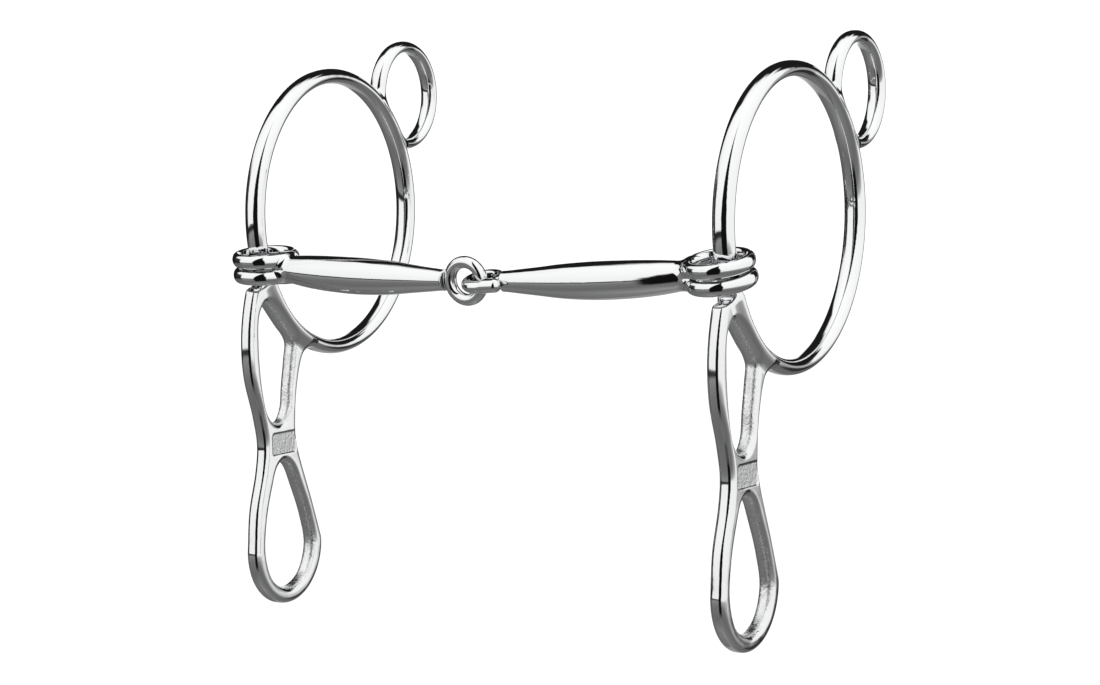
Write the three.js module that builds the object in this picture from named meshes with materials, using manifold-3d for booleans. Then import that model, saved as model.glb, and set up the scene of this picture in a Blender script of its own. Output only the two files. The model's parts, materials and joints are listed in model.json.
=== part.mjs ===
// Ring-cheek curb bit with a single-jointed mouthpiece.
//
// Two cheeks, each a round ring with a headstall loop at its rear upper side and a slotted shank below, are
// joined by two tapered mouth arms. Each arm's collar runs on its ring, and the arms' eyes link in the middle.
//
// Millimetres. +X points to the right cheek, +Y to the rear of the cheeks, +Z up. The origin is half way
// between the tops of the two headstall loops' holes, where the bridle carries the bit.
//
// A cheek is drawn in its ring's plane: y and z run from the ring's centre, and x runs across the ring, to the
// right. An arm is drawn from its collar's centre: x runs along the arm to the centre link, and z along the
// collar's bore, upward. Welded pieces keep a narrow gap to each other.

import * as THREE from 'three';
import { mergeVertices } from 'three/addons/utils/BufferGeometryUtils.js';
import Module from 'manifold-3d';

const { degToRad } = THREE.MathUtils;

// Driving dimensions
const ringSpacing = 132.4; // between the ring planes, at the rings' centres
const toeOut = degToRad(1.2); // each cheek's rear edge stands outward by this, within its collar's play
const weldGap = 0.3;

// Bars bent into a circle: depth is in the circle's plane and width is across it
const ring = { radius: 35.4, depth: 4.1, width: 5.5, corner: 1.9 };
const loop = { y: 35.3, z: 30.4, radius: 13.1, depth: 3.3, width: 4.7, corner: 1.3 };

// Shank casting: its two bars' centre lines, from the top down, and its two slots, as (y, z)
const shank = { bar: 4.1, width: 4.2, edge: 1.3 };
const waistPanel = { y: -27.4, z: -58, width: 10.2, height: 5.2, recess: 0.3 }; // as cast, on both faces
const frontBarLine = [
  [-32.9, -13], [-36.7, -20], [-38.7, -30], [-38, -40], [-34.6, -50], [-32.8, -58], [-33.8, -65.5], [-36.7, -75],
  [-37.7, -85.2],
];
const rearBarLine = [
  [-12.5, -28.5], [-19.2, -35], [-22.1, -42], [-23.5, -51], [-22.8, -60], [-16.6, -75], [-12.6, -85.2],
];
const reinBend = { y: -25.15, z: -85.2, radius: 12.55 };
const curbSlotEdge = [
  [-33.4, -21.7], [-30.6, -23.1], [-25, -28.2], [-21.9, -31.8], [-22.5, -36.5], [-23.9, -44], [-24.7, -49.5],
  [-27, -52.4], [-30.8, -52.5], [-33.6, -50], [-35.5, -44.5], [-36.9, -33], [-36.2, -24.4],
];
const reinSlotEdge = [
  [-27.2, -62.8], [-24, -64.6], [-20.6, -70.5], [-16.8, -78.6], [-14.9, -86.5], [-18, -93], [-25.15, -95.7],
  [-32.3, -93], [-35.6, -86], [-34.9, -77], [-32.3, -69], [-30, -64.2],
];

// Mouth arms. A collar sits on its ring's front, seatAngle below level, with its bore leaning forward.
const arms = {
  left: { hand: -1, seatAngle: degToRad(20.2), lean: degToRad(7.5), eyeRadius: 4.6, eyeTurn: degToRad(90) },
  right: { hand: 1, seatAngle: degToRad(17.8), lean: degToRad(13.8), eyeRadius: 4.1, eyeTurn: degToRad(-3) },
};
const collar = { bore: 5.8, wall: 2.7, corner: 1.3, bandHeight: 3.6, groove: 0.4, inboard: 1.7 };
const link = { y: -36.6, z: -14.5, wire: 1.5, play: 0.6 }; // the centre link, from the line between the rings
const bow = { forward: 1.2, down: 0.6 }; // how far a barrel's middle bends each way
const seatClearance = 1.2; // between the left collar, at rest, and the shank's shoulder
const barrelProfile = [ // distance from the collar's centre, radius
  [6.5, 3.1], [9, 3.5], [12, 3.85], [16, 4.2], [22, 4.5], [30, 4.6], [36, 4.4], [41, 4.05], [46, 3.5],
  [51, 3], [55, 2.6], [58, 2.5],
];

const steel = { color: 0xd4d6d8, roughness: 0.12, metalness: 1 };

const wasm = await Module();
wasm.setup();

// Solids for cutting and joining

function toSolid(geometry) {
  const bare = geometry.clone();
  bare.deleteAttribute('normal');
  bare.deleteAttribute('uv');
  const merged = mergeVertices(bare, 1e-4);
  const vertProperties = new Float32Array(merged.attributes.position.array);
  const triVerts = new Uint32Array(merged.index.array);
  return new wasm.Manifold(new wasm.Mesh({ numProp: 3, vertProperties, triVerts }));
}

function toGeometry(solid) {
  const mesh = solid.getMesh();
  const geometry = new THREE.BufferGeometry();
  geometry.setAttribute('position', new THREE.BufferAttribute(mesh.vertProperties, 3));
  geometry.setIndex(new THREE.BufferAttribute(mesh.triVerts, 1));
  geometry.computeVertexNormals();
  return geometry;
}

function subtract(geometry, cutter) {
  return toGeometry(toSolid(geometry).subtract(toSolid(cutter)));
}

// Outlines

// A rectangle with round corners, centred on (x, y)
function roundedRectangle(x, y, width, height, corner, cornerSteps) {
  const points = [];
  for (let quarter = 0; quarter < 4; quarter += 1) {
    const right = quarter === 0 || quarter === 3 ? 1 : -1;
    const up = quarter < 2 ? 1 : -1;
    for (let step = 0; step <= cornerSteps; step += 1) {
      const angle = ((quarter + step / cornerSteps) * Math.PI) / 2;
      points.push(new THREE.Vector2(
        x + right * (width / 2 - corner) + corner * Math.cos(angle),
        y + up * (height / 2 - corner) + corner * Math.sin(angle),
      ));
    }
  }
  return points;
}

function splineThrough(pairs) {
  return new THREE.SplineCurve(pairs.map(([x, y]) => new THREE.Vector2(x, y)));
}

// Points at a signed distance to the left of a centre line
function besideLine(pairs, distance, steps) {
  const curve = splineThrough(pairs);
  const points = [];
  for (let step = 0; step <= steps; step += 1) {
    const tangent = curve.getTangentAt(step / steps);
    const across = new THREE.Vector2(-tangent.y, tangent.x).multiplyScalar(distance);
    points.push(curve.getPointAt(step / steps).add(across));
  }
  return points;
}

// A smooth closed edge through the given points
function closedEdge(pairs, steps) {
  const curve = new THREE.CatmullRomCurve3(pairs.map(([x, y]) => new THREE.Vector3(x, y, 0)), true);
  return curve.getSpacedPoints(steps).slice(0, -1).map((point) => new THREE.Vector2(point.x, point.y));
}

function halfTurnBelow(x, y, radius, steps) {
  const points = [];
  for (let step = 1; step < steps; step += 1) {
    const angle = Math.PI * (1 + step / steps);
    points.push(new THREE.Vector2(x + radius * Math.cos(angle), y + radius * Math.sin(angle)));
  }
  return points;
}

// Cheek pieces

// A bar bent into a full circle about the x axis
function barCircle(bar, cornerSteps, turnSteps) {
  const section = roundedRectangle(bar.radius, 0, bar.depth, bar.width, bar.corner, cornerSteps);
  section.push(section[0].clone());
  return new THREE.LatheGeometry(section, turnSteps).rotateZ(-Math.PI / 2);
}

// The disc that the ring's outer half bounds, grown by the weld gap
function ringCutter() {
  const section = roundedRectangle(
    ring.radius, 0, ring.depth + 2 * weldGap, ring.width + 2 * weldGap, ring.corner + weldGap, 3,
  );
  const rim = section.filter((point) => point.x >= ring.radius).sort((a, b) => a.y - b.y);
  const face = ring.width / 2 + weldGap;
  const profile = [new THREE.Vector2(0, -face), ...rim, new THREE.Vector2(0, face)];
  return new THREE.LatheGeometry(profile, 60).rotateZ(-Math.PI / 2);
}

// The space above the shank's shoulder, where the lower of the two collars sits
function shoulderCutter() {
  const size = 30;
  const { lean, seatAngle } = arms.left;
  return new THREE.BoxGeometry(size, size, size)
    .translate(0, 0, size / 2 - collar.bandHeight - collar.groove / 2 - seatClearance)
    .rotateX(lean)
    .translate(0, -ring.radius * Math.cos(seatAngle), -ring.radius * Math.sin(seatAngle));
}

function waistPanelCutter(face) {
  const { y, z, width, height, recess } = waistPanel;
  return new THREE.BoxGeometry(2 * recess, width, height).translate((face * shank.width) / 2, y, z);
}

// Turns an outline drawn in (x, y) and extruded along z so that it lies in (y, z), extruded along x
function layAcross(geometry) {
  return geometry.applyMatrix4(new THREE.Matrix4().makeBasis(
    new THREE.Vector3(0, 1, 0), new THREE.Vector3(0, 0, 1), new THREE.Vector3(1, 0, 0),
  ));
}

function shankGeometry() {
  const half = shank.bar / 2;
  const outline = new THREE.Shape([
    ...besideLine(frontBarLine, -half, 24),
    ...halfTurnBelow(reinBend.y, reinBend.z, reinBend.radius + half, 16),
    ...besideLine(rearBarLine, half, 20).reverse(),
  ]);
  outline.holes.push(
    new THREE.Path(closedEdge(curbSlotEdge, 36)),
    new THREE.Path(closedEdge(reinSlotEdge, 36)),
  );
  const blank = new THREE.ExtrudeGeometry(outline, {
    depth: shank.width - 2 * shank.edge,
    bevelThickness: shank.edge,
    bevelSize: shank.edge,
    bevelOffset: -shank.edge,
    bevelSegments: 2,
  });
  blank.translate(0, 0, shank.edge - shank.width / 2);
  let casting = subtract(subtract(layAcross(blank), ringCutter()), shoulderCutter());
  for (const face of [-1, 1]) {
    casting = subtract(casting, waistPanelCutter(face));
  }
  return casting;
}

function cheek(side) {
  const { hand } = arms[side];
  const group = new THREE.Group();
  group.position.x = (hand * ringSpacing) / 2;
  group.rotation.z = -hand * toeOut;
  const hoop = barCircle(loop, 2, 40).translate(0, loop.y, loop.z);
  group.add(
    piece(`${side}_ring`, barCircle(ring, 2, 60)),
    piece(`${side}_headstall_loop`, subtract(hoop, ringCutter())),
    piece(`${side}_shank`, shankGeometry()),
  );
  return group;
}

// Arm pieces

function collarBand(level) {
  const section = roundedRectangle(
    collar.bore + collar.wall / 2, level * (collar.groove + collar.bandHeight) / 2,
    collar.wall, collar.bandHeight, collar.corner, 2,
  );
  section.push(section[0].clone());
  return new THREE.LatheGeometry(section, 36).rotateX(Math.PI / 2);
}

// The share of the bow that a barrel has reached at a distance along the line from collar to eye
function bowAt(along, span) {
  return Math.sin(Math.PI * Math.min(along / span, 1) ** 0.8);
}

function barrel(hand, eyeX, eyeRadius, eyeTurn) {
  const profile = [[barrelProfile[0][0], 0], ...barrelProfile, [barrelProfile.at(-1)[0], 0]];
  const bar = new THREE.LatheGeometry(profile.map(([along, r]) => new THREE.Vector2(r, along)), 24);
  bar.rotateZ(-Math.PI / 2);
  const { position } = bar.attributes;
  for (let i = 0; i < position.count; i += 1) {
    const share = bowAt(position.getX(i), eyeX);
    position.setY(i, position.getY(i) + hand * bow.forward * share);
    position.setZ(i, position.getZ(i) - bow.down * share);
  }
  const tall = 20;
  const collarReach = collar.bore + collar.wall + weldGap;
  const eyeReach = eyeRadius + link.wire + weldGap;
  const collarRoom = new THREE.CylinderGeometry(collarReach, collarReach, tall, 48).rotateX(Math.PI / 2);
  const eyeRoom = new THREE.CylinderGeometry(eyeReach, eyeReach, tall, 40).rotateX(Math.PI / 2 + eyeTurn);
  return subtract(subtract(bar, collarRoom), eyeRoom.translate(eyeX, 0, 0));
}

function arm(side) {
  const { hand, seatAngle, lean, eyeRadius, eyeTurn } = arms[side];
  const collarX = ringSpacing / 2 - collar.inboard - ring.radius * Math.cos(seatAngle) * Math.sin(toeOut);
  const start = new THREE.Vector3(
    hand * collarX, -ring.radius * Math.cos(seatAngle), -ring.radius * Math.sin(seatAngle),
  );
  const along = new THREE.Vector3(0, link.y, link.z).sub(start);
  const eyeSpacing = arms.left.eyeRadius + arms.right.eyeRadius - 2 * link.wire - link.play;
  const eyeX = along.length() - eyeSpacing / 2;
  along.normalize();
  const across = new THREE.Vector3(0, -Math.sin(lean), Math.cos(lean)).cross(along).normalize();
  const group = new THREE.Group();
  group.position.copy(start);
  group.setRotationFromMatrix(new THREE.Matrix4().makeBasis(along, across, along.clone().cross(across)));
  const centreEye = new THREE.TorusGeometry(eyeRadius, link.wire, 12, 28).rotateX(eyeTurn).translate(eyeX, 0, 0);
  group.add(
    piece(`${side}_collar_upper_band`, collarBand(1)),
    piece(`${side}_collar_lower_band`, collarBand(-1)),
    piece(`${side}_barrel`, barrel(hand, eyeX, eyeRadius, eyeTurn)),
    piece(`${side}_centre_eye`, centreEye),
  );
  return group;
}

// Assembly

function piece(name, geometry) {
  const mesh = new THREE.Mesh(geometry, new THREE.MeshStandardMaterial(steel));
  mesh.name = name;
  return mesh;
}

const curbBit = new THREE.Group();
curbBit.position.set(0, -loop.y, -(loop.z + loop.radius - loop.depth / 2));
for (const side of ['left', 'right']) {
  curbBit.add(cheek(side), arm(side));
}

export default curbBit;
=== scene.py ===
# Ring-cheek curb bit in polished stainless steel: its fine surfaces, their finish and a plain white studio.
#
# Every CAD node gets one closed piece, meshed from a distance function, so that bars, welds and castings
# run into each other as they do on polished steel. Shapes are in millimetres, in the frame of their cheek
# or arm, and go to the CAD frame, in metres, when a piece is placed.

import json
import math

import bpy
import numpy as np
from mathutils import Matrix, Vector


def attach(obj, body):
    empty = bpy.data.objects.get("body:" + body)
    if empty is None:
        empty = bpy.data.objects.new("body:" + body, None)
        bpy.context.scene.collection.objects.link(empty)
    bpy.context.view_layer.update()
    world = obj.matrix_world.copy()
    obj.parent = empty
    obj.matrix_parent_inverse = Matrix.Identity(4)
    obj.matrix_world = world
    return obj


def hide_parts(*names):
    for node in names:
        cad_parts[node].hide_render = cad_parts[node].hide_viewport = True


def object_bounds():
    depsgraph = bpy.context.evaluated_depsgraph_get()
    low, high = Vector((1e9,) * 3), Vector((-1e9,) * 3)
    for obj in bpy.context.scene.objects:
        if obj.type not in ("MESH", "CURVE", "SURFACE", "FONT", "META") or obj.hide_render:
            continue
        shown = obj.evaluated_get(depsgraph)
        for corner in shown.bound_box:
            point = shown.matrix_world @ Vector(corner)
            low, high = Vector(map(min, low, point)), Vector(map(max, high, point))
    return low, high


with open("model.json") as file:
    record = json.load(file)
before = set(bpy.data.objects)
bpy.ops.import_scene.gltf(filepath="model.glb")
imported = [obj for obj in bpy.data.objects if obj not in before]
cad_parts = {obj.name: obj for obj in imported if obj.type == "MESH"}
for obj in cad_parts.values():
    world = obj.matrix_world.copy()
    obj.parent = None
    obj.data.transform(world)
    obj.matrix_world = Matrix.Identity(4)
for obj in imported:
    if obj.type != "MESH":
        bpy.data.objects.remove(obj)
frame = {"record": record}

cad_low, cad_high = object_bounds()

# Driving dimensions, in millimetres and degrees, as in the CAD model, but with a rounder edge on the shank.
# Points are (y, z) from the ring's centre, and a barrel's are (distance from the collar's centre, radius).

RING = {"radius": 35.4, "depth": 4.1, "width": 5.5}
LOOP = {"radius": 13.1, "depth": 3.3, "width": 4.7}
LOOP_CENTRE = (35.3, 30.4)
SHANK = {"bar": 4.1, "width": 4.2, "edge": 1.6}
FRONT_BAR = [(-32.9, -13), (-36.7, -20), (-38.7, -30), (-38, -40), (-34.6, -50), (-32.8, -58),
             (-33.8, -65.5), (-36.7, -75), (-37.7, -85.2)]
REAR_BAR = [(-12.5, -28.5), (-19.2, -35), (-22.1, -42), (-23.5, -51), (-22.8, -60), (-16.6, -75),
            (-12.6, -85.2)]
REIN_BEND = {"y": -25.15, "z": -85.2, "radius": 12.55}
CURB_SLOT = [(-33.4, -21.7), (-30.6, -23.1), (-25, -28.2), (-21.9, -31.8), (-22.5, -36.5), (-23.9, -44),
             (-24.7, -49.5), (-27, -52.4), (-30.8, -52.5), (-33.6, -50), (-35.5, -44.5), (-36.9, -33),
             (-36.2, -24.4)]
REIN_SLOT = [(-27.2, -62.8), (-24, -64.6), (-20.6, -70.5), (-16.8, -78.6), (-14.9, -86.5), (-18, -93),
             (-25.15, -95.7), (-32.3, -93), (-35.6, -86), (-34.9, -77), (-32.3, -69), (-30, -64.2)]
WAIST_PANEL = {"y": -27.4, "z": -58, "width": 10.2, "height": 5.2, "recess": 0.3, "corner": 0.8}
ARMS = {
    "left": {"hand": -1, "seat": 20.2, "lean": 7.5, "eye_radius": 4.6, "eye_turn": 90},
    "right": {"hand": 1, "seat": 17.8, "lean": 13.8, "eye_radius": 4.1, "eye_turn": -3},
}
COLLAR = {"bore": 5.8, "wall": 2.7, "band": 3.6, "groove": 0.4, "inboard": 1.7}
LINK = {"y": -36.6, "z": -14.5, "wire": 1.5, "play": 0.6}
BOW = {"forward": 1.2, "down": 0.6}
BARREL = [(6.5, 3.1), (9, 3.5), (12, 3.85), (16, 4.2), (22, 4.5), (30, 4.6), (36, 4.4), (41, 4.05),
          (46, 3.5), (51, 3), (55, 2.6), (58, 2.5)]
SEAT_CLEARANCE = 1.2  # between the left collar, at rest, and the shank's shoulder

# Welds: how far the fillet reaches, how thick it is on the piece that carries it, and how deep that piece
# goes into the one that it meets
LOOP_WELD = {"reach": 1.6, "thick": 1.3, "root": 1.0}
SHANK_WELD = {"reach": 3.4, "thick": 2.4, "root": 1.0}
BARREL_WELD = {"reach": 2.2, "eye_reach": 0.6, "thick": 1.4, "root": 0.8}
SUNK = 0.04  # how far a weld's thin edge runs under the surface that it meets
WELD_MARGIN = 0.3  # how far past the ring bar's centre line a weld's root may go
SHOULDER_CUT = 1.2  # the reach of the rounding where the shank's shoulder is cut level
PANEL_CUT = 0.5  # and of the one at the edge of the waist's panel
GRID = {"ring": 0.3, "fine": 0.26, "eye": 0.18}  # the mesh's step, for each kind of piece
LINE_STEP = 0.4  # between the points of a curve

# The unpolished surface ends this far from a slot's edge and from the middle of the bar, and fades in over
# these widths
AS_CAST = {"slot": 1.1, "slot_fade": 0.5, "face": 2.0, "face_fade": 0.4, "panel_fade": 0.3}

# The end of the rod that closes the right centre eye, measured back towards the barrel from the eye's side
ROD_END = {"from": 2.4, "to": 4.8, "radius": 1.7, "blend": 0.8}

# The camera's lens is in millimetres, its place in metres from the middle between the ring centres
CAMERA = {"yaw": -30.23, "pitch": -5.235, "roll": -0.55, "lens": 83.95}
CAMERA_PLACE = (0.32287, -0.55537, 0.02669)
# Painted shade: how far the occlusion looks, and where the steel's colour runs from near-black to its own
# grey
PAINTED_SHADE_AO = {"reach": 0.005, "dark": 0.2, "clear": 0.62}  # metres, and shares of open space
TENT_RADIUS = 2.5  # metres
TENT_STRENGTH = 1.19
WORLD_STRENGTH = 1.15
STAND_AZIMUTH = -22  # of the dark stand in front; 0 is towards the camera and 90 is to its right


# Fields: each returns the signed distance of points p, an (n, 3) array, negative inside

def smooth_union(a, b, reach):
    """The union of two fields, with a fillet that starts a reach away from where they meet."""
    h = np.maximum(reach - np.abs(a - b), 0) / reach
    return np.minimum(a, b) - h * h * reach / 4


def smooth_cut(a, b, reach):
    return -smooth_union(-a, b, reach)


def rounded_box_2d(u, v, width, height, corner):
    du = np.abs(u) - width / 2 + corner
    dv = np.abs(v) - height / 2 + corner
    outside = np.hypot(np.maximum(du, 0), np.maximum(dv, 0))
    return outside + np.minimum(np.maximum(du, dv), 0) - corner


def oval_2d(u, v, width, height):
    """Close to the distance to an oval near its edge, which is where it is used."""
    a, b = width / 2, height / 2
    size = np.hypot(u / a, v / b)
    slope = np.hypot(u / a ** 2, v / b ** 2)
    return size * (size - 1) / np.maximum(slope, 1e-6)


def bar_circle(p, bar, centre=(0, 0)):
    """An oval bar bent into a circle about the x axis."""
    reach = np.hypot(p[:, 1] - centre[0], p[:, 2] - centre[1]) - bar["radius"]
    return oval_2d(reach, p[:, 0], bar["depth"], bar["width"])


def within_ring(p):
    """The space inside the ring's own centre line, where nothing welded to the ring goes."""
    return np.hypot(p[:, 1], p[:, 2]) - RING["radius"] + WELD_MARGIN


def catmull_rom(points, closed, alpha, spacing):
    """Points along the Catmull-Rom curve through the given ones: uniform at alpha 0, centripetal at 0.5."""
    pts = np.array(points, float)
    count = len(pts)
    out = []
    for i in range(count if closed else count - 1):
        if closed:
            four = [pts[(i + k) % count] for k in (-1, 0, 1, 2)]
        else:
            four = [pts[min(max(i + k, 0), count - 1)] for k in (-1, 0, 1, 2)]
            if i == 0:
                four[0] = 2 * four[1] - four[2]
            if i == count - 2:
                four[3] = 2 * four[2] - four[1]
        p0, p1, p2, p3 = four
        knots = [0.0]
        for a, b in zip(four, four[1:]):
            knots.append(knots[-1] + max(np.linalg.norm(b - a), 1e-6) ** alpha)
        t0, t1, t2, t3 = knots
        steps = max(2, int(np.linalg.norm(p2 - p1) / spacing))
        t = (t1 + (t2 - t1) * np.arange(steps) / steps)[:, None]
        a1 = (t1 - t) / (t1 - t0) * p0 + (t - t0) / (t1 - t0) * p1
        a2 = (t2 - t) / (t2 - t1) * p1 + (t - t1) / (t2 - t1) * p2
        a3 = (t3 - t) / (t3 - t2) * p2 + (t - t2) / (t3 - t2) * p3
        b1 = (t2 - t) / (t2 - t0) * a1 + (t - t0) / (t2 - t0) * a2
        b2 = (t3 - t) / (t3 - t1) * a2 + (t - t1) / (t3 - t1) * a3
        out.append((t2 - t) / (t2 - t1) * b1 + (t - t1) / (t2 - t1) * b2)
    if not closed:
        out.append(pts[-1:])
    return np.concatenate(out)


def beside(line, distance):
    """The line moved to its left by a distance."""
    tangent = np.gradient(line, axis=0)
    tangent /= np.linalg.norm(tangent, axis=1)[:, None]
    return line + distance * np.stack([-tangent[:, 1], tangent[:, 0]], 1)


def outline_distance(q, outline):
    """Signed distance of points q, an (n, 2) array, to a closed outline."""
    best = np.full(len(q), np.inf)
    inside = np.zeros(len(q), bool)
    for a, b in zip(outline, np.roll(outline, -1, axis=0)):
        along = b - a
        t = np.clip(((q - a) @ along) / max(along @ along, 1e-12), 0, 1)
        gap = q - a - t[:, None] * along
        best = np.minimum(best, np.einsum("ij,ij->i", gap, gap))
        crosses = (a[1] > q[:, 1]) != (b[1] > q[:, 1])
        if along[1] != 0:
            inside ^= crosses & (q[:, 0] < a[0] + (q[:, 1] - a[1]) * along[0] / along[1])
    return np.where(inside, -1, 1) * np.sqrt(best)


class Plan:
    """A flat distance field on a fine grid, read back by smooth cubic interpolation."""

    step = 0.2

    def __init__(self, low, high, distance):
        self.low = np.array(low, float)
        count = np.ceil((np.array(high) - self.low) / self.step).astype(int) + 1
        y = self.low[0] + self.step * np.arange(count[0])
        z = self.low[1] + self.step * np.arange(count[1])
        grid = np.stack(np.meshgrid(y, z, indexing="ij"), -1).reshape(-1, 2)
        self.values = distance(grid).reshape(count)

    def __call__(self, y, z):
        u = (y - self.low[0]) / self.step
        v = (z - self.low[1]) / self.step
        i = np.clip(np.floor(u).astype(int), 1, self.values.shape[0] - 3)
        j = np.clip(np.floor(v).astype(int), 1, self.values.shape[1] - 3)
        wu, wv = self.weights(np.clip(u - i, -1, 2)), self.weights(np.clip(v - j, -1, 2))
        total = np.zeros(len(y))
        for a in range(4):
            for b in range(4):
                total += wu[a] * wv[b] * self.values[i + a - 1, j + b - 1]
        return total

    @staticmethod
    def weights(t):
        """Cubic B-spline weights, which also smooth over the grid's own step."""
        s = 1 - t
        below = (3 * t ** 3 - 6 * t ** 2 + 4) / 6
        above = (3 * s ** 3 - 6 * s ** 2 + 4) / 6
        return (s ** 3 / 6, below, above, t ** 3 / 6)


# Meshing

def sample(field, axes):
    """The field's values on a grid, one sheet of it at a time."""
    shape = tuple(len(a) for a in axes)
    values = np.empty(shape)
    sheet = np.stack(np.meshgrid(axes[1], axes[2], indexing="ij"), -1).reshape(-1, 2)
    for i, x in enumerate(axes[0]):
        values[i] = field(np.column_stack([np.full(len(sheet), x), sheet])).reshape(shape[1:])
    return values


def cell_points(values):
    """For each cell that the surface crosses, the mean of its crossings with the cell's edges.

    Returns the points, in cells from the grid's corner, and a grid with each cell's point's number.
    """
    inside = values < 0
    corners = [(a, b, c) for a in (0, 1) for b in (0, 1) for c in (0, 1)]
    cells = tuple(s - 1 for s in values.shape)

    def shifted(array, by):
        return array[tuple(slice(by[k], by[k] + cells[k]) for k in range(3))]

    filled = sum(shifted(inside, c).astype(int) for c in corners)
    active = (filled > 0) & (filled < 8)
    where = np.argwhere(active)
    index = np.full(cells, -1)
    index[active] = np.arange(len(where))
    total = np.zeros((len(where), 3))
    count = np.zeros(len(where))
    for a in corners:
        for k in range(3):
            if a[k]:
                continue
            b = tuple(1 if m == k else a[m] for m in range(3))
            va = shifted(values, a)[active]
            vb = shifted(values, b)[active]
            hit = (va < 0) != (vb < 0)
            t = np.where(hit, va / np.where(hit, va - vb, 1), 0)
            point = np.array(a, float) + t[:, None] * (np.array(b) - np.array(a))
            total += point * hit[:, None]
            count += hit
    return where + total / count[:, None], index


def cell_quads(inside, index):
    """A quad across each grid edge that the surface crosses, between the points of the cells round it."""
    quads = []
    for k in range(3):
        u, v = (k + 1) % 3, (k + 2) % 3
        first = [slice(1, -1)] * 3
        first[k] = slice(0, -1)
        second = list(first)
        second[k] = slice(1, None)
        a, b = inside[tuple(first)], inside[tuple(second)]
        for flip, hit in ((False, a & ~b), (True, ~a & b)):
            at = np.argwhere(hit)
            at[:, u] += 1
            at[:, v] += 1
            ring = []
            for du, dv in ((-1, -1), (0, -1), (0, 0), (-1, 0)):
                cell = at.copy()
                cell[:, u] += du
                cell[:, v] += dv
                ring.append(index[cell[:, 0], cell[:, 1], cell[:, 2]])
            quads.append(np.stack(ring[::-1] if flip else ring, 1))
    return np.concatenate(quads)


def settle(field, vertices, step):
    """The vertices, moved onto the field's zero surface, by up to half a cell at a time."""
    for _ in range(3):
        slope = gradient(field, vertices)
        size = np.maximum((slope ** 2).sum(1), 0.05)
        move = (field(vertices) / size)[:, None] * slope
        length = np.linalg.norm(move, axis=1)[:, None]
        vertices = vertices - move * np.minimum(1, 0.5 * step / np.maximum(length, 1e-9))
    return vertices


def polygonise(field, low, high, step):
    """Vertices and quads of the field's zero surface, by surface nets."""
    axes = [np.arange(low[i], high[i] + step, step) for i in range(3)]
    values = sample(field, axes)
    points, index = cell_points(values)
    corner = np.array([a[0] for a in axes])
    return settle(field, corner + step * points, step), cell_quads(values < 0, index)


def gradient(field, p, h=0.02):
    columns = []
    for k in range(3):
        offset = np.zeros(3)
        offset[k] = h
        columns.append((field(p + offset) - field(p - offset)) / (2 * h))
    return np.stack(columns, 1)


def make_piece(name, mesh_data, place, node, body, material, rough_cast=None):
    """Makes the object that stands for a CAD node, from vertices and quads in a local frame."""
    vertices, quads = mesh_data
    world = (vertices @ np.array(place.to_3x3()).T + np.array(place.translation)) / 1000
    mesh = bpy.data.meshes.new(name)
    mesh.from_pydata(world.tolist(), [], quads.tolist())
    mesh.polygons.foreach_set("use_smooth", np.ones(len(quads), bool))
    mesh.materials.append(material)
    if rough_cast:
        layer = mesh.attributes.new("as_cast", "FLOAT", "POINT")
        layer.data.foreach_set("value", rough_cast(vertices))
    mesh.update()
    piece = bpy.data.objects.new(name, mesh)
    bpy.context.scene.collection.objects.link(piece)
    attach(piece, body)
    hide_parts(node)
    return piece


# Cheeks

def ring_field(p):
    return bar_circle(p, RING)


def weld_to_ring(p, bar, weld):
    """A bar with a fillet up to the ring, that stops just under the ring's surface."""
    ring = ring_field(p)
    welded = smooth_union(bar, ring + SUNK, weld["reach"])
    rooted = np.minimum(ring + weld["root"], within_ring(p))
    return np.maximum(np.maximum(welded, bar - weld["thick"]), -rooted)


def loop_field(p):
    return weld_to_ring(p, bar_circle(p, LOOP, LOOP_CENTRE), LOOP_WELD)


def shank_plan():
    """The shank seen from the side: both bars and the bend round the rein slot, less the two slots."""
    half = SHANK["bar"] / 2
    front = beside(catmull_rom(FRONT_BAR, False, 0, LINE_STEP), -half)
    rear = beside(catmull_rom(REAR_BAR, False, 0, LINE_STEP), half)
    turn = np.pi * (1 + np.arange(1, 100) / 100)
    reach = REIN_BEND["radius"] + half
    bend = np.stack([REIN_BEND["y"] + reach * np.cos(turn), REIN_BEND["z"] + reach * np.sin(turn)], 1)
    outer = np.concatenate([front, bend, rear[::-1]])

    def distance(q):
        return np.maximum(outline_distance(q, outer), -slot_distance(q))

    return Plan((-44, -103), (-6, -10), distance)


def slot_distance(q):
    """Distance in the cheek's plane to the nearer of the shank's two slots, negative inside it."""
    curb = outline_distance(q, catmull_rom(CURB_SLOT, True, 0.5, LINE_STEP))
    rein = outline_distance(q, catmull_rom(REIN_SLOT, True, 0.5, LINE_STEP))
    return np.minimum(curb, rein)


def panel_distance(p):
    """Distance in the cheek's plane to the edge of the waist's recessed panel, negative inside it."""
    return rounded_box_2d(p[:, 1] - WAIST_PANEL["y"], p[:, 2] - WAIST_PANEL["z"],
                          WAIST_PANEL["width"], WAIST_PANEL["height"], WAIST_PANEL["corner"])


def as_cast(p):
    """1 where the casting was never polished, in the slots and the waist's panels, and 0 elsewhere."""
    by_slot = np.clip((AS_CAST["slot"] - slot_distance(p[:, 1:])) / AS_CAST["slot_fade"], 0, 1)
    off_face = np.clip((AS_CAST["face"] - np.abs(p[:, 0])) / AS_CAST["face_fade"], 0, 1)
    in_panel = np.clip(-panel_distance(p) / AS_CAST["panel_fade"] + 1, 0, 1)
    return np.maximum(by_slot * off_face, in_panel)


def shoulder_field(p):
    """The space above the shank's shoulder, under the left collar."""
    seat, lean = math.radians(ARMS["left"]["seat"]), math.radians(ARMS["left"]["lean"])
    y = p[:, 1] + RING["radius"] * math.cos(seat)
    z = p[:, 2] + RING["radius"] * math.sin(seat)
    level = -math.sin(lean) * y + math.cos(lean) * z
    return -(level + COLLAR["band"] + COLLAR["groove"] / 2 + SEAT_CLEARANCE)


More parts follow.
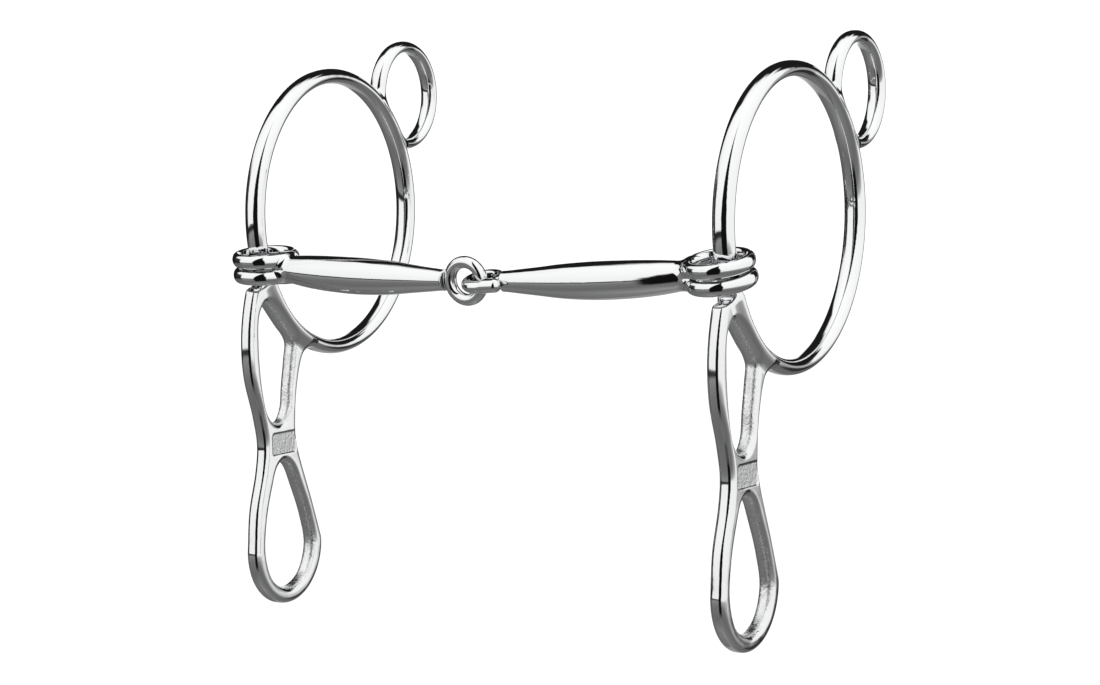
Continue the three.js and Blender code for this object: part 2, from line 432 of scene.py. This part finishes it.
def shank_field_with(plan):
    def field(p):
        flat = plan(p[:, 1], p[:, 2])
        across = np.abs(p[:, 0]) - SHANK["width"] / 2 + SHANK["edge"]
        inward = flat + SHANK["edge"]
        bar = np.hypot(np.maximum(inward, 0), np.maximum(across, 0))
        bar = bar + np.minimum(np.maximum(inward, across), 0) - SHANK["edge"]
        bar = smooth_cut(bar, shoulder_field(p), SHOULDER_CUT)
        above_panel = SHANK["width"] / 2 - WAIST_PANEL["recess"] - np.abs(p[:, 0])
        bar = smooth_cut(bar, np.maximum(panel_distance(p), above_panel), PANEL_CUT)
        return weld_to_ring(p, bar, SHANK_WELD)
    return field


# Arms, drawn from the collar's centre: x along the arm to the link, z along the collar's bore

def band_field_at(level):
    """One of the collar's two bands: the upper at level 1, the lower at level -1."""
    height = level * (COLLAR["groove"] + COLLAR["band"]) / 2

    def field(p):
        reach = np.hypot(p[:, 0], p[:, 1]) - COLLAR["bore"] - COLLAR["wall"] / 2
        return oval_2d(reach, p[:, 2] - height, COLLAR["wall"], COLLAR["band"])
    return field


def torus_field(radius, wire, centre_x, turn):
    """A round wire bent into a circle: in the arm's x-y plane at turn 0, and turned about x from there."""
    c, s = math.cos(turn), math.sin(turn)

    def field(p):
        y = c * p[:, 1] + s * p[:, 2]
        z = -s * p[:, 1] + c * p[:, 2]
        return np.hypot(np.hypot(p[:, 0] - centre_x, y) - radius, z) - wire
    return field


def barrel_core(p, hand, eye_x, end_x):
    """The bowed, tapered bar by itself, cut square at both ends."""
    curve = catmull_rom(BARREL, False, 0, 0.3)
    radius = np.interp(p[:, 0], curve[:, 0], curve[:, 1])
    span = np.clip(p[:, 0] / eye_x, 0, 1)
    bow = np.sin(np.pi * span ** 0.8)
    side = np.hypot(p[:, 1] - hand * BOW["forward"] * bow, p[:, 2] + BOW["down"] * bow) - radius
    return np.maximum(side, np.maximum(BARREL[0][0] - p[:, 0], p[:, 0] - end_x))


def arm_layout(side):
    """Where an arm's frame is placed, and how far along it the centre eye is."""
    arm = ARMS[side]
    ring = joints[f"{side}_ring_slide"]
    centre = Vector(ring["pos_m"]) * 1000
    toe = math.asin(abs(ring["axis"][1]))
    seat, lean = math.radians(arm["seat"]), math.radians(arm["lean"])
    x = abs(centre.x) - COLLAR["inboard"] - RING["radius"] * math.cos(seat) * math.sin(toe)
    start = Vector((arm["hand"] * x, centre.y - RING["radius"] * math.cos(seat),
                    centre.z - RING["radius"] * math.sin(seat)))
    along = Vector((0, centre.y + LINK["y"], centre.z + LINK["z"])) - start
    spacing = ARMS["left"]["eye_radius"] + ARMS["right"]["eye_radius"] - 2 * LINK["wire"] - LINK["play"]
    eye_x = along.length - spacing / 2
    along.normalize()
    across = Vector((0, -math.sin(lean), math.cos(lean))).cross(along).normalized()
    up = along.cross(across)
    place = Matrix((along, across, up)).transposed().to_4x4()
    place.translation = start
    return place, eye_x


def build_arm(side, polished):
    """An arm's four pieces. Each shape is a field, the low and high corners of its box, and a step."""
    arm = ARMS[side]
    hand = arm["hand"]
    place, eye_x = arm_layout(side)
    turn = math.radians(arm["eye_turn"])
    eye = torus_field(arm["eye_radius"], LINK["wire"], eye_x, turn)
    end_x = eye_x - arm["eye_radius"] - 0.8 * LINK["wire"]
    upper, lower = band_field_at(1), band_field_at(-1)

    def core(p):
        bore = COLLAR["bore"] + COLLAR["wall"] / 2 - np.hypot(p[:, 0], p[:, 1])
        return np.maximum(barrel_core(p, hand, eye_x, end_x), bore)

    def barrel(p):
        bar = core(p)
        bands = np.minimum(upper(p), lower(p)) + SUNK
        shape = smooth_union(bar, bands, BARREL_WELD["reach"])
        shape = smooth_union(shape, eye(p) + SUNK, BARREL_WELD["eye_reach"])
        shape = np.maximum(shape, bar - BARREL_WELD["thick"])
        return np.maximum(shape, -np.minimum(bands, eye(p) + SUNK) - BARREL_WELD["root"])

    def centre_eye(p):
        if side == "left":
            return eye(p)
        near = p - np.array([eye_x, arm["eye_radius"], 0])
        t = np.clip(-near[:, 0], ROD_END["from"], ROD_END["to"])
        rod = np.sqrt((near[:, 0] + t) ** 2 + near[:, 1] ** 2 + near[:, 2] ** 2) - ROD_END["radius"]
        return smooth_union(eye(p), rod, ROD_END["blend"])

    reach = COLLAR["bore"] + COLLAR["wall"] + 0.8
    half = COLLAR["band"] + COLLAR["groove"]
    width = arm["eye_radius"] + LINK["wire"] + 1.2
    shapes = {
        "collar_upper_band": (upper, (-reach, -reach, -0.6), (reach, reach, half + 0.6), GRID["fine"]),
        "collar_lower_band": (lower, (-reach, -reach, -half - 0.6), (reach, reach, 0.6), GRID["fine"]),
        "barrel": (barrel, (5.5, -10.5, -6.5), (end_x + 3, 10.5, 6.5), GRID["fine"]),
        "centre_eye": (centre_eye, (eye_x - width, -width, -width), (eye_x + width, width, width),
                       GRID["eye"]),
    }
    for part, (field, low, high, step) in shapes.items():
        data = polygonise(field, low, high, step)
        make_piece(f"{part}_{side}", data, place, f"{side}_{part}", f"{side}_arm",
                   polished)


def build_cheeks(polished, cast):
    """Both cheeks' three pieces, which share one mesh each: the cheeks are symmetric across the ring."""
    side = RING["radius"] + RING["depth"]
    y, z = LOOP_CENTRE
    reach = LOOP["radius"] + LOOP["depth"] + 1
    shapes = {
        "ring": (ring_field, (-3.3, -side, -side), (3.3, side, side), GRID["ring"],
                 polished, "polished_steel"),
        "headstall_loop": (loop_field, (-3.6, y - reach, z - reach), (3.6, y + reach, z + reach),
                           GRID["fine"], polished, "polished_steel"),
        "shank": (shank_field_with(shank_plan()), (-3.4, -43.5, -102.5), (3.4, -6.5, -12), GRID["fine"],
                  cast, "cast_steel"),
    }
    for part, (field, low, high, step, material, slot) in shapes.items():
        data = polygonise(field, low, high, step)
        for hand_name in ARMS:
            joint = joints[f"{hand_name}_ring_slide"]
            normal = Vector(joint["axis"])
            if normal.x < 0:
                normal = -normal
            rear = Vector((0, 0, 1)).cross(normal)
            place = Matrix((normal, rear, Vector((0, 0, 1)))).transposed().to_4x4()
            place.translation = Vector(joint["pos_m"]) * 1000
            make_piece(f"{part}_{hand_name}", data, place, f"{hand_name}_{part}", f"{hand_name}_cheek",
                       material, as_cast if part == "shank" else None)


# Materials

def new_material(name):
    material = bpy.data.materials.new(name)
    material.use_nodes = True
    nodes, links = material.node_tree.nodes, material.node_tree.links
    return material, nodes, links, nodes["Principled BSDF"]


def math_node(nodes, links, operation, *values):
    node = nodes.new("ShaderNodeMath")
    node.operation = operation
    for socket, value in zip(node.inputs, values):
        if isinstance(value, (int, float)):
            socket.default_value = value
        else:
            links.new(value, socket)
    return node.outputs[0]


def noise(nodes, links, vector, scale, detail, low, high):
    """A noise texture mapped to a range of values."""
    texture = nodes.new("ShaderNodeTexNoise")
    texture.inputs["Scale"].default_value = scale
    texture.inputs["Detail"].default_value = detail
    links.new(vector, texture.inputs["Vector"])
    spread = nodes.new("ShaderNodeMapRange")
    spread.inputs["From Min"].default_value = 0.3
    spread.inputs["From Max"].default_value = 0.7
    spread.inputs["To Min"].default_value = low
    spread.inputs["To Max"].default_value = high
    links.new(texture.outputs["Fac"], spread.inputs["Value"])
    return spread.outputs["Result"]


def steel(name, colour, rough, ripple, pitted):
    """Polished steel: slightly uneven, a little rougher in patches, and with painted shade in its narrow
    gaps, where ambient occlusion darkens the base colour.

    Ripples are so many metres high, and so are the pits where the mesh is marked as_cast.
    """
    material, nodes, links, shader = new_material(name)
    shader.inputs["Metallic"].default_value = 1
    where = nodes.new("ShaderNodeTexCoord").outputs["Object"]
    # Painted shade: the base colour goes near-black where ambient occlusion finds close surfaces, in gaps,
    # grooves and weld creases
    painted_shade_occlusion = nodes.new("ShaderNodeAmbientOcclusion")
    painted_shade_occlusion.inputs["Distance"].default_value = PAINTED_SHADE_AO["reach"]
    shade = nodes.new("ShaderNodeValToRGB")
    shade.color_ramp.elements[0].position = PAINTED_SHADE_AO["dark"]
    shade.color_ramp.elements[0].color = (0.02, 0.02, 0.02, 1)
    shade.color_ramp.elements[1].position = PAINTED_SHADE_AO["clear"]
    shade.color_ramp.elements[1].color = (*colour, 1)
    links.new(painted_shade_occlusion.outputs["AO"], shade.inputs["Fac"])
    roughness = noise(nodes, links, where, 180, 3, *rough)
    height = math_node(nodes, links, "MULTIPLY", noise(nodes, links, where, 90, 2, 0, 1), ripple)
    if pitted:
        mark = nodes.new("ShaderNodeAttribute")
        mark.attribute_name = "as_cast"
        cast = mark.outputs["Fac"]
        grain = noise(nodes, links, where, 900, 4, 0.1, 0.35)
        roughness = math_node(nodes, links, "MULTIPLY_ADD", cast, grain, roughness)
        pits = math_node(nodes, links, "MULTIPLY", noise(nodes, links, where, 1400, 4, 0, pitted), cast)
        height = math_node(nodes, links, "ADD", height, pits)
    links.new(shade.outputs["Color"], shader.inputs["Base Color"])
    links.new(roughness, shader.inputs["Roughness"])
    bump = nodes.new("ShaderNodeBump")
    bump.inputs["Strength"].default_value = 1
    bump.inputs["Distance"].default_value = 1
    links.new(height, bump.inputs["Height"])
    links.new(bump.outputs["Normal"], shader.inputs["Normal"])
    return material


# Studio

def camera():
    """The camera stands in front, to the right and a little above. Returns the way that it looks."""
    yaw, pitch, roll = (math.radians(CAMERA[turn]) for turn in ("yaw", "pitch", "roll"))
    view = Vector((math.sin(yaw) * math.cos(pitch), math.cos(yaw) * math.cos(pitch), math.sin(pitch)))
    right = Vector((math.cos(yaw), -math.sin(yaw), 0))
    up = right.cross(view)
    image_right = math.cos(roll) * right + math.sin(roll) * up
    image_up = -math.sin(roll) * right + math.cos(roll) * up
    data = bpy.data.cameras.new("camera")
    data.sensor_width = 36
    data.lens = CAMERA["lens"]
    data.clip_start = 0.02
    data.clip_end = 50
    cam = bpy.data.objects.new("camera", data)
    place = Matrix((image_right, image_up, -view)).transposed().to_4x4()
    left_ring, right_ring = (Vector(joints[f"{side}_ring_slide"]["pos_m"]) for side in ARMS)
    place.translation = (left_ring + right_ring) / 2 + Vector(CAMERA_PLACE)
    cam.matrix_world = place
    bpy.context.scene.collection.objects.link(cam)
    bpy.context.scene.camera = cam
    return view


def curve(nodes, links, angle, turn, stops):
    """A grey for each angle. Stops are (degrees, grey), and their angles run from -turn / 2 to turn / 2."""
    node = nodes.new("ShaderNodeValToRGB")
    elements = node.color_ramp.elements
    while len(elements) < len(stops):
        elements.new(0.5)
    for element, (degrees, grey) in zip(elements, stops):
        element.position = degrees / turn + 0.5
        element.color = (grey, grey, grey, 1)
    share = math_node(nodes, links, "MULTIPLY_ADD", angle, 1 / math.radians(turn), 0.5)
    links.new(share, node.inputs["Fac"])
    return node.outputs["Color"]


def tent_material(view):
    """White light in front and above, grey below, and dark flags at the back beside a white backdrop.

    It is drawn in azimuth, where 0 is towards the camera and 90 is to its right, and in elevation.
    """
    material = bpy.data.materials.new("tent")
    material.use_nodes = True
    nodes, links = material.node_tree.nodes, material.node_tree.links
    nodes.clear()
    unit = nodes.new("ShaderNodeVectorMath")
    unit.operation = "NORMALIZE"
    links.new(nodes.new("ShaderNodeTexCoord").outputs["Object"], unit.inputs[0])

    def part_along(x, y, z):
        dot = nodes.new("ShaderNodeVectorMath")
        dot.operation = "DOT_PRODUCT"
        dot.inputs[1].default_value = (x, y, z)
        links.new(unit.outputs["Vector"], dot.inputs[0])
        return dot.outputs["Value"]

    level = math.hypot(view.x, view.y)
    right = part_along(view.y / level, -view.x / level, 0)
    front = part_along(-view.x / level, -view.y / level, 0)
    azimuth = math_node(nodes, links, "ARCTAN2", right, front)
    elevation = math_node(nodes, links, "ARCSINE", part_along(0, 0, 1))

    def by_height(*stops):
        return curve(nodes, links, elevation, 180, stops)

    def within(*stops):
        return curve(nodes, links, azimuth, 360, stops)

    def blend(below, above, share):
        mix = nodes.new("ShaderNodeMix")
        links.new(share, mix.inputs["Factor"])
        links.new(below, mix.inputs["A"])
        links.new(above, mix.inputs["B"])
        return mix.outputs["Result"]

    front_light = by_height((-90, 0.2), (-40, 0.13), (-25, 0.16), (-16, 0.38), (-12, 0.86), (30, 0.93),
                            (90, 1))
    left_light = by_height((-90, 0.3), (-70, 0.24), (-45, 0.13), (-25, 0.16), (-13, 0.24), (-11, 0.02),
                           (-8, 0.02), (-7, 0.86), (30, 0.93), (90, 1))
    stand = by_height((-90, 0.2), (-45, 0.15), (-34, 0.005), (90, 0.005))
    near_flag = by_height((-90, 0.14), (-38, 0.12), (-32, 0.03), (-14, 0.02), (-11, 0.3), (2, 0.36),
                          (6, 0.01), (44, 0.01), (52, 0.9), (90, 1))
    left_flag = by_height((-90, 0.22), (-50, 0.16), (-14, 0.1), (-10, 0.01), (14, 0.04), (22, 0.86),
                          (90, 1))
    far_flag = by_height((-90, 0.22), (-50, 0.14), (-14, 0.1), (-10, 0.01), (58, 0.01), (66, 0.9),
                         (90, 1))
    backdrop = by_height((-90, 0.2), (-30, 0.3), (-16, 0.5), (-12, 0.95), (16, 0.95), (20, 0.01),
                         (62, 0.01), (70, 0.9), (90, 1))
    grey = blend(front_light, left_light, within((-180, 1), (-30, 1), (-20, 0), (180, 0)))
    rise = math_node(nodes, links, "MAXIMUM", elevation, 0)
    from_stand = math_node(nodes, links, "ADD", azimuth, -math.radians(STAND_AZIMUTH))
    off_stand = math_node(nodes, links, "ABSOLUTE", from_stand)
    off_stand = math_node(nodes, links, "MULTIPLY_ADD", rise, 0.3, off_stand)
    by_stand = curve(nodes, links, off_stand, 360, [(-180, 1), (20, 1), (23, 0), (180, 0)])
    grey = blend(grey, stand, by_stand)
    grey = blend(grey, near_flag, within((-180, 0), (117, 0), (120, 1), (180, 1)))
    grey = blend(grey, left_flag, within((-180, 1), (-96, 1), (-92, 0), (180, 0)))
    grey = blend(grey, far_flag, within((-180, 1), (-128, 1), (-122, 0), (136, 0), (140, 1), (180, 1)))
    grey = blend(grey, backdrop, within((-180, 1), (-171, 1), (-168, 0), (166, 0), (169, 1), (180, 1)))
    glow = nodes.new("ShaderNodeEmission")
    glow.inputs["Color"].default_value = (1, 1, 1, 1)
    links.new(math_node(nodes, links, "MULTIPLY", grey, TENT_STRENGTH), glow.inputs["Strength"])
    out = nodes.new("ShaderNodeOutputMaterial")
    links.new(glow.outputs["Emission"], out.inputs["Surface"])
    return material


def studio(view):
    """A white floor for the shadows, a white world, and the light tent, which only reflections see."""
    scene = bpy.context.scene
    scene.view_settings.view_transform = "Standard"
    world = bpy.data.worlds.new("studio")
    scene.world = world
    world.use_nodes = True
    world.node_tree.nodes["Background"].inputs["Color"].default_value = (1, 1, 1, 1)
    world.node_tree.nodes["Background"].inputs["Strength"].default_value = WORLD_STRENGTH

    bpy.ops.mesh.primitive_plane_add(size=6, location=(0, 0, cad_low.z - 0.3))
    floor = bpy.context.object
    floor.name = "floor"
    material, _, _, shader = new_material("floor_white")
    shader.inputs["Base Color"].default_value = (0.93, 0.93, 0.93, 1)
    shader.inputs["Roughness"].default_value = 0.9
    floor.data.materials.append(material)
    floor.visible_glossy = False

    bpy.ops.mesh.primitive_uv_sphere_add(segments=48, ring_count=24, radius=TENT_RADIUS)
    tent = bpy.context.object
    tent.name = "light_tent"
    tent.data.materials.append(tent_material(view))
    tent.visible_camera = False
    tent.visible_diffuse = False
    tent.visible_shadow = False


joints = {joint["name"]: joint for joint in frame["record"]["behaviour"]["joints"]}
view_direction = camera()
studio(view_direction)
polished_steel = steel("polished_steel", (0.84, 0.845, 0.85), (0.03, 0.07), 0.00004, 0)
cast_steel = steel("cast_steel", (0.82, 0.825, 0.83), (0.04, 0.10), 0.00005, 0.00006)
build_cheeks(polished_steel, cast_steel)
for arm_side in ARMS:
    build_arm(arm_side, polished_steel)
